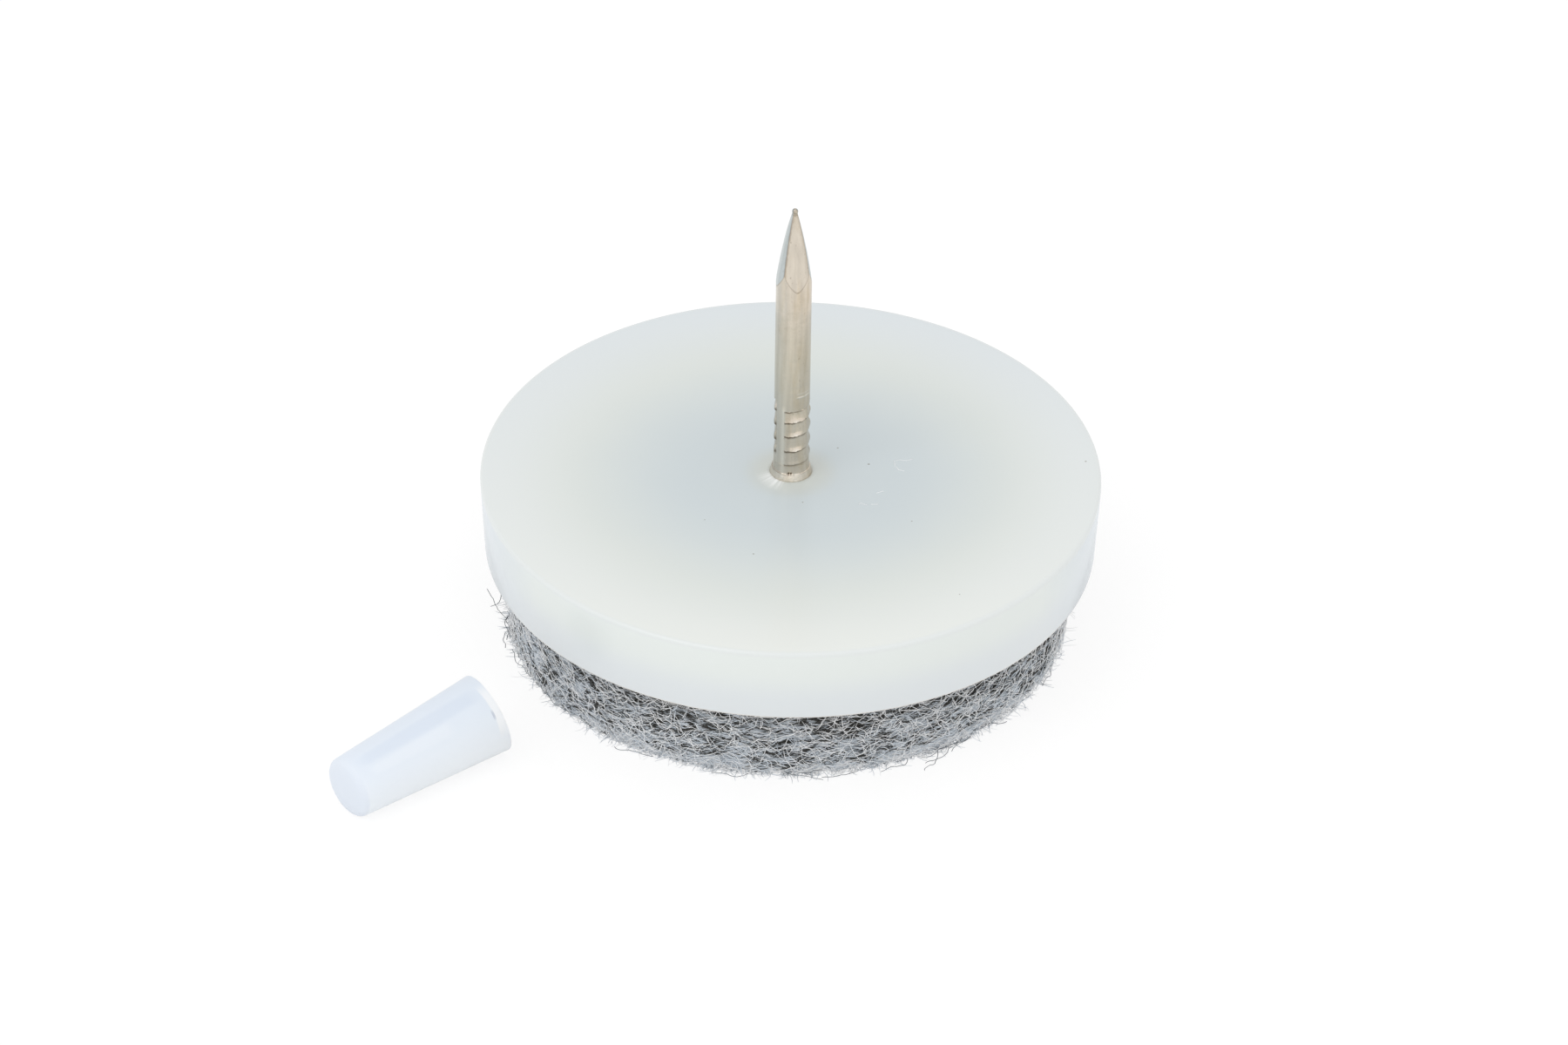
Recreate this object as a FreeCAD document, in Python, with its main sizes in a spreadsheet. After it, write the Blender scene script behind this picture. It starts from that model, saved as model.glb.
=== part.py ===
"""Nail-on furniture glide: a plastic disc with a barbed nail, a felt pad under it and a loose point cap.

Millimetres, +Z up along the nail. The origin is the middle of the felt's underside, on the floor.
"""

import FreeCAD, Part
import math
import os
import Sketcher

# Driving dimensions: name, size in millimetres or degrees, what it is
SIZES = [
    ("disc_diameter", 35.0, "disc, across its top edge"),
    ("disc_height", 4.5, "disc, from its rim's underside to its top face"),
    ("disc_draft", 3.0, "lean of the disc's wall, narrower at the felt, degrees"),
    ("disc_edge", 0.25, "round of the disc's top edge"),
    ("disc_lip", 1.4, "rim of the disc around the felt's seat"),
    ("felt_thickness", 6.0, "felt pad, with the part inside its seat"),
    ("felt_seat", 1.0, "depth of the felt's seat in the disc's underside"),
    ("felt_gap", 0.1, "room around the felt in its seat"),
    ("felt_edge", 0.5, "bevel of the felt's lower edge"),
    ("shank_diameter", 2.0, "nail, plain shank"),
    ("nail_rise", 17.6, "nail, from the disc's top face to the tip"),
    ("nail_gap", 0.02, "room around the nail's collar and head in the disc"),
    ("head_diameter", 6.0, "nail, flat head inside the disc"),
    ("head_thickness", 1.0, "nail, flat head"),
    ("collar_step", 0.2, "nail, collar at its foot, out from the shank"),
    ("collar_rise", 0.45, "collar, above the disc's top face"),
    ("ring_start", 1.07, "lowest ring shoulder, above the disc's top face"),
    ("ring_pitch", 0.905, "from one ring shoulder to the next"),
    ("ring_count", 5, "ring shoulders"),
    ("ring_depth", 0.1, "step of a ring shoulder"),
    ("ring_sweep", 134.0, "one half's rings round the shank, degrees"),
    ("ring_turn", -47.0, "middle of one half's rings, from +X, degrees"),
    ("point_height", 4.94, "from the lowest end of a point facet to the tip"),
    ("point_turn", 12.5, "middle of one point facet, from +X, degrees"),
    ("facet_lean", 6.5, "lean of a facet at its lowest end, degrees"),
    ("facet_bow", 1.75, "radius of a facet across the nail, at its lowest end"),
    ("tip_width", 0.2, "across two facets at the tip"),
    ("tip_bead", 0.33, "blunt bead that the pinched tip ends in"),
    ("cap_length", 9.4, "point cap"),
    ("cap_wall", 0.8, "point cap, wall around the bore"),
    ("cap_ease", 0.55, "point cap, room around the shank at the mouth"),
    ("cap_grip", 0.05, "point cap, bore tighter than the shank at its blind end"),
    ("cap_end_wall", 1.4, "point cap, thickness of the closed end"),
    ("cap_edge", 0.3, "round of the cap's closed end"),
    ("cap_gap", 4.4, "from the disc's edge to the middle of the cap's mouth, seen from above"),
    ("cap_bearing", 219.5, "where the cap lies round the disc, from +X, degrees"),
    ("cap_heading", 40.6, "where the cap's mouth points, from +X, degrees"),
]

# Heights above the floor and radii that several features share, as expressions on the sheet
DISC_UNDERSIDE = "(sizes.felt_thickness - sizes.felt_seat)"
DISC_TOP = f"({DISC_UNDERSIDE} + sizes.disc_height)"
RIM = "(sizes.disc_diameter / 2 - sizes.disc_height * tan(sizes.disc_draft * 1 deg))"
SEAT = f"({RIM} - sizes.disc_lip)"
FELT = f"({SEAT} - sizes.felt_gap)"
HEAD_TOP = "(sizes.felt_thickness + sizes.head_thickness)"
TIP = f"({DISC_TOP} + sizes.nail_rise)"
POINT_END = f"({TIP} - sizes.tip_bead / 2)"
FACET_FOOT = f"({TIP} - sizes.point_height)"
SHANK = "(sizes.shank_diameter / 2)"
RING_ROOT = f"({SHANK} - sizes.ring_depth)"
RING_START = f"({DISC_TOP} + sizes.ring_start)"
COLLAR = f"({SHANK} + sizes.collar_step)"
HEAD = "(sizes.head_diameter / 2)"
CAP_BORE_MOUTH = f"({SHANK} + sizes.cap_ease)"
CAP_BORE_END = f"({SHANK} - sizes.cap_grip)"
CAP_MOUTH = f"({CAP_BORE_MOUTH} + sizes.cap_wall)"
CAP_END = f"({CAP_BORE_END} + sizes.cap_wall)"
CAP_TAPER = f"atan(({CAP_MOUTH} - {CAP_END}) / sizes.cap_length)"

FULL_TURN = 360
RING_HALVES = 2
POINT_FACETS = 4
# Sweep of one facet's cut, wider than the nail
FACET_SWEEP = 150
# How far a cutting profile stands out past the shank
CUT_ROOM = "sizes.shank_diameter"
# How far the slanted side of a ring or facet cut runs on past the shank's surface, as a share of itself
RUN_ON = 0.25
SAME_SIZE = 1e-6

doc = FreeCAD.newDocument("furniture_glide")


def make_sheet():
    """The spreadsheet of driving dimensions, one named cell each."""
    sheet = doc.addObject("Spreadsheet::Sheet", "sizes")
    for row, (name, value, meaning) in enumerate(SIZES, start=1):
        sheet.set(f"A{row}", name)
        sheet.set(f"B{row}", str(value))
        sheet.setAlias(f"B{row}", name)
        sheet.set(f"C{row}", meaning)
    doc.recompute()
    return sheet


def value_of(expression):
    """The number that an expression on the sheet gives now."""
    result = sheet.evalExpression(expression)
    return float(getattr(result, "Value", result))


def new_body(name):
    body = doc.addObject("PartDesign::Body", name)
    body.Label = name
    return body


def origin_part(body, role):
    """An origin plane or axis of a body, such as XZ_Plane or Z_Axis."""
    return next(feature for feature in body.Origin.OriginFeatures if feature.Role == role)


def attach(feature, body, role):
    feature.AttachmentSupport = [(origin_part(body, role), "")]
    feature.MapMode = "FlatFace"


def section_sketch(body, name, turn=None):
    """A sketch on the upright plane through the Z axis: its x is the radius and its y the height."""
    sketch = body.newObject("Sketcher::SketchObject", name)
    attach(sketch, body, "XZ_Plane")
    if turn:
        # The upright axis is kept only with an angle beside it, which the sheet then replaces
        about_upright = FreeCAD.Rotation(FreeCAD.Vector(0, 1, 0), FULL_TURN / 4)
        sketch.AttachmentOffset = FreeCAD.Placement(FreeCAD.Vector(), about_upright)
        sketch.setExpression("AttachmentOffset.Rotation.Angle", turn)
    return sketch


def tie(sketch, kind, *where, expression):
    """Adds a dimension to a sketch and binds it to the sheet."""
    index = sketch.addConstraint(Sketcher.Constraint(kind, *where, value_of(expression)))
    sketch.setExpression(f"Constraints[{index}]", expression)


def point_at(corner):
    """The point that a pair of expressions gives now."""
    return FreeCAD.Vector(value_of(corner[0]), value_of(corner[1]), 0)


def tie_point(sketch, line, end, corner):
    """Binds a point of a line to a pair of expressions, measured from the sketch's origin."""
    for kind, expression in zip(("DistanceX", "DistanceY"), corner):
        tie(sketch, kind, -1, 1, line, end, expression=expression)


def draw_outline(sketch, corners, arc=None):
    """A closed outline through corners given as pairs of expressions.

    The side numbered arc is curved, and runs on smoothly from the straight side before it.
    """
    points = [point_at(corner) for corner in corners]
    for side, start in enumerate(points):
        end = points[(side + 1) % len(points)]
        if side == arc:
            sketch.addGeometry(Part.ArcOfCircle(start, arc_middle(points[side - 1], start, end), end))
        else:
            sketch.addGeometry(Part.LineSegment(start, end))
    for side, corner in enumerate(corners):
        before = (side - 1) % len(corners)
        if side == arc:
            sketch.addConstraint(Sketcher.Constraint("Tangent", before, 2, side, 1))
        else:
            sketch.addConstraint(Sketcher.Constraint("Coincident", before, 2, side, 1))
        tie_point(sketch, side, 1, corner)


def arc_middle(before, start, end):
    """The middle of the arc from start to end that leaves start in the direction from before."""
    chord = end - start
    along = start - before
    turn = math.atan2(along.x * chord.y - along.y * chord.x, along.dot(chord))
    across = FreeCAD.Vector(chord.y, -chord.x, 0)
    return (start + end) / 2 + across * (math.tan(turn / 2) / 2)


def revolve(body, kind, name, sketch, axis="V_Axis", sweep=FULL_TURN):
    """Turns a sketch about one of its axes, as a Revolution or a Groove on both sides of the sketch."""
    feature = body.newObject(f"PartDesign::{kind}", name)
    feature.Profile = sketch
    feature.ReferenceAxis = (sketch, [axis])
    feature.Midplane = True
    feature.setExpression("Angle", str(sweep))
    doc.recompute()
    return feature


def ease_edge(body, kind, name, size, radius, height):
    """A Fillet or Chamfer on the round edge of the body's last feature that has this radius and height."""
    base = body.Tip
    edges = [
        f"Edge{index}"
        for index, edge in enumerate(base.Shape.Edges, start=1)
        if isinstance(edge.Curve, Part.Circle)
        and abs(edge.Curve.Radius - value_of(radius)) < SAME_SIZE
        and abs(edge.Curve.Center.z - value_of(height)) < SAME_SIZE
    ]
    eased = body.newObject(f"PartDesign::{kind}", name)
    eased.Base = (base, edges)
    eased.setExpression({"Fillet": "Radius", "Chamfer": "Size"}[kind], size)
    doc.recompute()


def check_cut(body, before, what):
    """Stops when a cut took nothing away."""
    if body.Tip.Shape.Volume > before - SAME_SIZE:
        raise RuntimeError(f"{what} cut nothing")


def make_base_disc():
    """Moulded disc: tapered wall, a shallow seat for the felt and a stepped hole for the nail."""
    disc = new_body("base_disc")
    collar_hole = f"{COLLAR} + sizes.nail_gap"
    head_hole = f"{HEAD} + sizes.nail_gap"
    section = section_sketch(disc, "disc_section")
    draw_outline(section, [
        (SEAT, DISC_UNDERSIDE),
        (RIM, DISC_UNDERSIDE),
        ("sizes.disc_diameter / 2", DISC_TOP),
        (collar_hole, DISC_TOP),
        (collar_hole, HEAD_TOP),
        (head_hole, HEAD_TOP),
        (head_hole, "sizes.felt_thickness"),
        (SEAT, "sizes.felt_thickness"),
    ])
    revolve(disc, "Revolution", "disc_turned", section)
    ease_edge(disc, "Fillet", "disc_top_edge", "sizes.disc_edge", "sizes.disc_diameter / 2", DISC_TOP)
    return disc


def make_felt_pad():
    """Felt punched out as a plain disc, with its lower edge softened by the floor."""
    felt = new_body("felt_pad")
    outline = felt.newObject("Sketcher::SketchObject", "felt_outline")
    attach(outline, felt, "XY_Plane")
    outline.addGeometry(Part.Circle(FreeCAD.Vector(), FreeCAD.Vector(0, 0, 1), value_of(FELT)))
    outline.addConstraint(Sketcher.Constraint("Coincident", 0, 3, -1, 1))
    tie(outline, "Radius", 0, expression=FELT)
    pad = felt.newObject("PartDesign::Pad", "felt_punched")
    pad.Profile = outline
    pad.setExpression("Length", "sizes.felt_thickness")
    doc.recompute()
    ease_edge(felt, "Chamfer", "felt_lower_edge", "sizes.felt_edge", FELT, "0")
    return felt


def make_nail():
    """Headed wire nail: rings and point are cut first, then the collar and the tip's bead are added."""
    nail = new_body("nail")
    blank = section_sketch(nail, "blank_section")
    draw_outline(blank, [
        ("0", "sizes.felt_thickness"),
        (HEAD, "sizes.felt_thickness"),
        (HEAD, HEAD_TOP),
        (SHANK, HEAD_TOP),
        (SHANK, POINT_END),
        ("0", POINT_END),
    ])
    revolve(nail, "Revolution", "nail_blank", blank)
    cut_rings(nail)
    cut_point(nail)
    add_collar(nail)
    add_tip_bead(nail)
    return nail


def cut_rings(nail):
    """Barbs that widen towards the head: two die halves press them and leave a smooth strip on each side."""
    before = nail.Tip.Shape.Volume
    outside = f"{SHANK} + {CUT_ROOM}"
    run_out = f"{SHANK} + sizes.ring_depth * {RUN_ON}"
    low_end = f"{RING_START} - sizes.ring_pitch * {1 + RUN_ON}"
    halves = []
    for half in range(RING_HALVES):
        turn = f"(sizes.ring_turn + {half * FULL_TURN / RING_HALVES}) * 1 deg"
        section = section_sketch(nail, f"ring_section_{half + 1}", turn)
        draw_outline(section, [
            (RING_ROOT, RING_START),
            (run_out, low_end),
            (outside, low_end),
            (outside, RING_START),
        ])
        halves.append(revolve(nail, "Groove", f"ring_cut_{half + 1}", section, sweep="sizes.ring_sweep"))
    row = nail.newObject("PartDesign::LinearPattern", "ring_row")
    row.Originals = halves
    row.Direction = (origin_part(nail, "Z_Axis"), [""])
    row.Mode = "Spacing"
    row.setExpression("Offset", "sizes.ring_pitch")
    row.setExpression("Occurrences", "sizes.ring_count")
    nail.Tip = row
    doc.recompute()
    check_cut(nail, before, "the rings")


def cut_point(nail):
    """Diamond point: four facets, each bowed across the nail and crowned along it."""
    before = nail.Tip.Shape.Volume
    section = section_sketch(nail, "facet_section", "sizes.point_turn * 1 deg")
    lead = f"sizes.point_height * {RUN_ON}"
    outside = f"{SHANK} + {CUT_ROOM}"
    above = f"{POINT_END} + {CUT_ROOM}"
    draw_outline(section, [
        (f"{SHANK} + {lead} * tan(sizes.facet_lean * 1 deg)", f"{FACET_FOOT} - {lead}"),
        (SHANK, FACET_FOOT),
        ("sizes.tip_width / 2", POINT_END),
        ("sizes.tip_width / 2", above),
        (outside, above),
        (outside, f"{FACET_FOOT} - {lead}"),
    ], arc=1)
    pivot_low = (f"{SHANK} - sizes.facet_bow", FACET_FOOT)
    pivot_high = (f"{SHANK} - sizes.facet_bow", TIP)
    pivot = section.addGeometry(Part.LineSegment(point_at(pivot_low), point_at(pivot_high)), True)
    tie_point(section, pivot, 1, pivot_low)
    tie_point(section, pivot, 2, pivot_high)
    facet = revolve(nail, "Groove", "facet_cut", section, "Axis0", FACET_SWEEP)
    point = nail.newObject("PartDesign::PolarPattern", "point_facets")
    point.Originals = [facet]
    point.Axis = (origin_part(nail, "Z_Axis"), [""])
    point.Angle = FULL_TURN
    point.Occurrences = POINT_FACETS
    nail.Tip = point
    doc.recompute()
    check_cut(nail, before, "the point")


def add_collar(nail):
    """Collar that fills the hole in the disc, with a flare that narrows to the root of the lowest ring."""
    section = section_sketch(nail, "collar_section")
    draw_outline(section, [
        ("0", HEAD_TOP),
        (COLLAR, HEAD_TOP),
        (COLLAR, f"{DISC_TOP} + sizes.collar_rise"),
        (RING_ROOT, RING_START),
        ("0", RING_START),
    ])
    revolve(nail, "Revolution", "collar_and_flare", section)


def add_tip_bead(nail):
    """The blunt bead of metal that is left where the point was pinched off."""
    bead = nail.newObject("PartDesign::AdditiveSphere", "tip_bead")
    attach(bead, nail, "XY_Plane")
    bead.setExpression("AttachmentOffset.Base.z", POINT_END)
    bead.setExpression("Radius", "sizes.tip_bead / 2")
    doc.recompute()


def make_point_cap():
    """Tapered cap with a blind bore, turned about its own axis and laid on its side on the floor."""
    cap = new_body("point_cap")
    closed_end = "-sizes.cap_length"
    bore_end = f"{closed_end} + sizes.cap_end_wall"
    section = section_sketch(cap, "cap_section")
    draw_outline(section, [
        ("0", closed_end),
        (CAP_END, closed_end),
        (CAP_MOUTH, "0"),
        (CAP_BORE_MOUTH, "0"),
        (CAP_BORE_END, bore_end),
        ("0", bore_end),
    ])
    revolve(cap, "Revolution", "cap_turned", section)
    ease_edge(cap, "Fillet", "cap_closed_edge", "sizes.cap_edge", CAP_END, closed_end)
    reach = "(sizes.disc_diameter / 2 + sizes.cap_gap)"
    mouth = (
        f"vector({reach} * cos(sizes.cap_bearing * 1 deg); {reach} * sin(sizes.cap_bearing * 1 deg); "
        f"{CAP_MOUTH} * cos({CAP_TAPER}))"
    )
    lie = f"rotation(sizes.cap_heading * 1 deg; 90 deg - {CAP_TAPER}; 0 deg)"
    cap.setExpression("Placement", f"placement({mouth}; {lie})")
    doc.recompute()
    return cap


def check_model(bodies):
    """Stops when any object failed, or a piece isn't one valid solid."""
    failed = [item.Name for item in doc.Objects if {"Invalid", "Error"} & set(item.State)]
    if failed:
        raise RuntimeError(f"failed objects: {failed}")
    for body in bodies:
        if body.Shape.isNull() or not body.Shape.isValid() or len(body.Shape.Solids) != 1:
            raise RuntimeError(f"{body.Label} isn't one valid solid")


sheet = make_sheet()
pieces = [make_base_disc(), make_felt_pad(), make_nail(), make_point_cap()]
doc.recompute()
check_model(pieces)
os.makedirs("parts", exist_ok=True)
for piece in pieces:
    piece.Shape.exportStep(f"parts/{piece.Label}.step")
    print(piece.Label, f"{piece.Shape.Volume:.2f} mm3", piece.Shape.BoundBox)
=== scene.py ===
"""Looks of a nail-on furniture glide: its plastic disc, felt pad, ringed nail and point cap.

Lengths are metres in the frame of the CAD model, whose origin is the centre of the felt's underside.
Bearings are turns about the nail from +X.
"""

import math
import random
from functools import partial

import bmesh
import bpy
from bpy.props import FloatProperty, FloatVectorProperty, IntProperty, PointerProperty
from mathutils import Matrix, Quaternion, Vector, noise


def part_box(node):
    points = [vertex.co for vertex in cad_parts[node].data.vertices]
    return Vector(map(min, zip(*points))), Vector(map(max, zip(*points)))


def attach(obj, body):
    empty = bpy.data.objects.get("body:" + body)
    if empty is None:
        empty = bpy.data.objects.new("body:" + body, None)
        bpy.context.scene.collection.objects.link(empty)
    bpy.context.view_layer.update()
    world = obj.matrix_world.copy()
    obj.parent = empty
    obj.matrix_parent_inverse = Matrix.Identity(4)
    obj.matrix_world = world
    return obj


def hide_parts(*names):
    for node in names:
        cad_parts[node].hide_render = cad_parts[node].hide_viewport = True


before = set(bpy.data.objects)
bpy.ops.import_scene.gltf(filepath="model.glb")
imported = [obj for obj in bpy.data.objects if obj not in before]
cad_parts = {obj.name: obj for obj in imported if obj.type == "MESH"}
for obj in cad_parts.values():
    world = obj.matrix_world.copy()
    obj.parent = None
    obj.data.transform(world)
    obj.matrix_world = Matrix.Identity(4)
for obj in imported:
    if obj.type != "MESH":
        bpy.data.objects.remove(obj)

bl_info = {
    "name": "Nail-on furniture glide",
    "version": (1, 0, 0),
    "blender": (4, 5, 0),
    "location": "3D View > Sidebar > Glide",
    "description": "Builds the looks of a nail-on furniture glide with its felt pad and point cap",
    "category": "Object",
}

MM = 0.001
DEG = math.pi / 180
TURN = 2 * math.pi
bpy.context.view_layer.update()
DISC_LOW, DISC_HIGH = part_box("base_disc")
FELT_LOW, FELT_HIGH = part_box("felt_pad")
NAIL_LOW, NAIL_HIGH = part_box("nail")

# Steps of a full turn of each turned piece, and rows up the felt's wall.
DISC_STEPS = 288
NAIL_STEPS = 288
FELT_STEPS = 540
FELT_ROWS = 36
CAP_STEPS = 128
# How near vertices lie that are merged, and how near a rim's vertices lie to its circle.
MERGE = 1e-8
NEAR = 1e-6

# The plastic pushed up round the nail: distance from the hole in millimetres, and share of the full height.
SWELL = ((0, 0.8), (0.06, 1), (0.2, 0.85), (0.4, 0.5), (0.7, 0.16), (1.1, 0))
# Side of the nail where driving it bruised the plastic.
BRUISE_SIDE = (-0.77, -0.64, 0)
# Grit on the disc's top: place and reach, in millimetres.
GRIT = (
    (2.63, 2.43, 0.07),
    (4.38, 0.87, 0.09),
    (6.79, -4.66, 0.06),
    (-2.0, -8.07, 0.07),
    (0.69, -2.99, 0.06),
    (-4.76, -4.85, 0.05),
    (9.4, -11.6, 0.05),
    (16.63, 1.5, 0.08),
)
# Hair-thin scratches on the disc's top, in millimetres.
SCRATCHES = (
    ((6.86, 1.44), (6.50, 1.27), (6.14, 1.34), (5.82, 1.22), (5.86, 0.79), (6.07, 0.35), (6.39, 0.24)),
    ((4.79, -2.00), (5.21, -1.77)),
    ((3.83, -3.10), (3.93, -2.98), (4.29, -3.16)),
    ((4.50, -3.08), (4.89, -3.08)),
)

# How much higher each ring of the nail lies than an even spacing would put it, in millimetres.
RING_SLIPS = (0.08, 0.075, 0.17, 0.195, 0.02)
# Heights of the raised line along a smooth strip, of a ring's crest and of the lump where a ring ends.
DIE_LINE = 0.03 * MM
RING_CREST = 0.045 * MM
RING_LUMP = 0.08 * MM
# Straight foot of the collar, reach of its rounded lip, and depth of the dent over it.
COLLAR_FOOT = 0.1 * MM
COLLAR_LIP = 0.07 * MM
DENT_DEPTH = 0.06 * MM
# Width and height of a scrape on the shank.
SCRAPE_WIDTH = 0.045 * MM
SCRAPE_HEIGHT = 0.012 * MM
# Bearings of the scrapes' middle and of the side where a bluish reflection is painted on the plate.
SCRAPE_SIDE = -45 * DEG
GREY_SIDE = 210 * DEG

# Bearing where the felt is painted paler, as a sheen.
SHEEN_SIDE = 200 * DEG
# A fibre's thickness along its length, as shares, for one that lies on the wall and one that stands out.
LYING_TAPER = (0.45, 1, 1.1, 1, 0.35)
LOOSE_TAPER = (0.9, 0.85, 0.8, 0.7, 0.45)
FIBRE_STEPS = len(LYING_TAPER) - 1
THREAD_POINTS = 14
# Each shade of fibre: its share of strands, how far out it lies in millimetres, how dark the blend must be
# there, how steep it runs, its thickness, how many of its fibres stand out, and how much these keep low.
SHADES = (
    ("dark", 1.0, (-0.07, 0.05), (-0.1, 9), 0.22, 1.35, 0, 1),
    ("grey", 0.6, (-0.06, 0.04), (-0.2, 0.2), 0.3, 1.0, 0.3, 7),
    ("pale", 0.9, (-0.06, 0.05), (-0.7, 0.02), 0.35, 1.1, 0.1, 6),
    ("white", 1.0, (0.05, 0.18), (-9, 9), 0.7, 0.85, 0.42, 5),
)

# Refraction of polyethylene.
POLYETHYLENE = 1.51
# Gloss of each finish. One that crosses about 0.27 gets pale patches when a render is denoised.
DISC_GLOSS = {"To Min": 0.2, "To Max": 0.27}
NAIL_GLOSS = {"To Min": 0.14, "To Max": 0.27}
CAP_GLOSS = {"To Min": 0.4, "To Max": 0.55}
WHITE = (1, 1, 1)

# Half the floor's width, the lamp's width and place, and the width of the camera's sensor in millimetres.
FLOOR_REACH = 4
LAMP_SIZE = 0.5
LAMP_PLACE = (-0.41, -0.40, 0.70)
SENSOR = 36


def linear(hex_colour):
    """Linear RGB of an sRGB hex colour."""
    channels = [int(hex_colour[i:i + 2], 16) / 255 for i in (1, 3, 5)]
    return tuple(c / 12.92 if c <= 0.04045 else ((c + 0.055) / 1.055) ** 2.4 for c in channels)


def colour(name, description, hex_colour):
    """A colour setting with its default."""
    return FloatVectorProperty(
        name=name, description=description, default=linear(hex_colour), subtype="COLOR", min=0, max=1)


def length(name, description, millimetres):
    """A length setting with its default."""
    return FloatProperty(
        name=name, description=description, default=millimetres * MM, min=0, unit="LENGTH", precision=5)


def angle(name, description, degrees):
    """An angle setting with its default."""
    return FloatProperty(name=name, description=description, default=degrees * DEG, subtype="ANGLE")


class GlideDisc(bpy.types.PropertyGroup):
    """Sizes and colours of the moulded disc."""

    draft: angle("Draft", "Lean of the wall, narrower below", 3)
    edge: length("Edge", "Round of the top edge", 0.2)
    lip: length("Lip", "Width of the rim round the felt's seat", 1.4)
    seat: length("Seat", "Depth of the felt's seat", 1.0)
    head_hole: length("Head hole", "Radius of the pocket for the nail's head", 3.02)
    head_depth: length("Head depth", "Depth of the pocket for the nail's head", 1.0)
    nail_hole: length("Nail hole", "Radius of the hole that grips the nail's collar", 1.2)
    swell: length("Swell", "Height of the plastic pushed up round the nail", 0.13)
    core_milk: colour("Core", "Milky plastic over the felt", "#cdd6d9")
    ring_milk: colour("Ring", "Milky plastic towards the rim", "#dde2de")
    rim_milk: colour("Rim", "Milky plastic at the rim's front", "#e9ece8")
    # The edge tone is painted shade along the rounded top edge.
    edge_milk: colour("Edge", "Plastic rubbed dull along the top edge", "#e4e8e7")
    # The back tone is painted shade: the rim is darker at the back, away from the front light.
    back_shade: colour("Back", "Milky plastic at the rim's back", "#dde3e6")
    wall_milk: colour("Wall", "Milky plastic high on the wall", "#e7ece9")
    # The side tone is painted shade on the wall's left and right.
    side_shade: colour("Side", "Milky plastic of the wall at the left and right", "#d9e1e7")
    foot_milk: colour("Foot", "Milky plastic low on the wall", "#e2e7e9")
    # The joint tone is painted shade along the disc's lower edge, under its lip.
    lower_edge_shade: colour("Joint", "Stain where the felt is glued in", "#ded9d1")
    # This tint is painted shade and warm reflection of the nail on the plastic round its collar.
    nail_shade_and_reflection: colour("Warm", "Tint of the plastic next to the nail", "#ced3cf")
    scratch: length("Scratch", "Width of a scratch on the top", 0.045)
    bruise: colour("Bruise", "Plastic whitened by strain", "#f8fafa")
    grit: colour("Grit", "Specks of dirt on the top", "#6a583c")


class GlideNail(bpy.types.PropertyGroup):
    """Sizes and colours of the ringed nail."""

    shank: length("Shank", "Radius of the shank", 1.0)
    head: length("Head", "Radius of the head", 3.0)
    head_thickness: length("Head thickness", "Thickness of the head", 1.0)
    collar: length("Collar", "Radius of the collar in the disc", 1.2)
    collar_rise: length("Collar rise", "Height of the collar over the disc", 0.52)
    collar_taper: length("Collar taper", "How much narrower the collar gets", 0.12)
    ring_start: length("Ring start", "Height of the lowest ring over the disc", 1.07)
    ring_pitch: length("Ring pitch", "Height of one ring", 0.905)
    ring_depth: length("Ring depth", "Depth of a ring at its foot", 0.1)
    ring_sweep: angle("Ring sweep", "Sweep of the rings on each side", 136)
    ring_turn: angle("Ring turn", "Bearing of the middle of the front rings", -47)
    ring_tilt: length("Ring tilt", "Rise of a ring along one radian", 0.08)
    die_slip: angle("Die slip", "How far the second die is turned from straight behind the first", 12)
    die_shift: length("Die shift", "How much higher the second die pressed its rings", 0.36)
    # Besides shaping the rings, this bearing sets where highlights are painted on the plate.
    glint_turn: angle("Worn", "Bearing where the rings stand out most and are rubbed bright", -74)
    dent_turn: angle("Dent", "Bearing of the small dent above the collar", -94)
    scrape: length("Scrape", "Height over the disc of a scrape on the shank", 5.66)
    point: length("Point", "Height of the point", 4.94)
    point_turn: angle("Point turn", "Bearing of the first facet", 12.5)
    lean: angle("Lean", "Lean of a facet at its foot", 6.5)
    bow: length("Bow", "Radius of a facet across its foot", 1.75)
    crown: length("Crown", "How much a facet's foot is drawn to a point", 0.09)
    tip: length("Tip", "Width between facets at the tip", 0.2)
    bead: length("Bead", "Diameter of the blunted tip", 0.345)
    nickel: colour("Nickel", "Nickel plate", "#dbd0c0")
    # The steel tone is used as a painted bluish reflection on two facets and along the left of the wire.
    steel: colour("Steel", "Bare steel of the two facets that the cutter sheared", "#bdc4c4")
    # Bright is a painted highlight on raised edges, and the bright metal of scrapes.
    bright: colour("Bright", "Plate rubbed bright on raised edges", "#f3ede1")
    stain: colour("Stain", "Warm streaks where the plate is thin", "#c3ae8a")
    # Tarnish also carries painted shade in grooves, creases, pits and dents.
    tarnish_and_shade: colour("Tarnish", "Dirt along pressed edges", "#665746")


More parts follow.
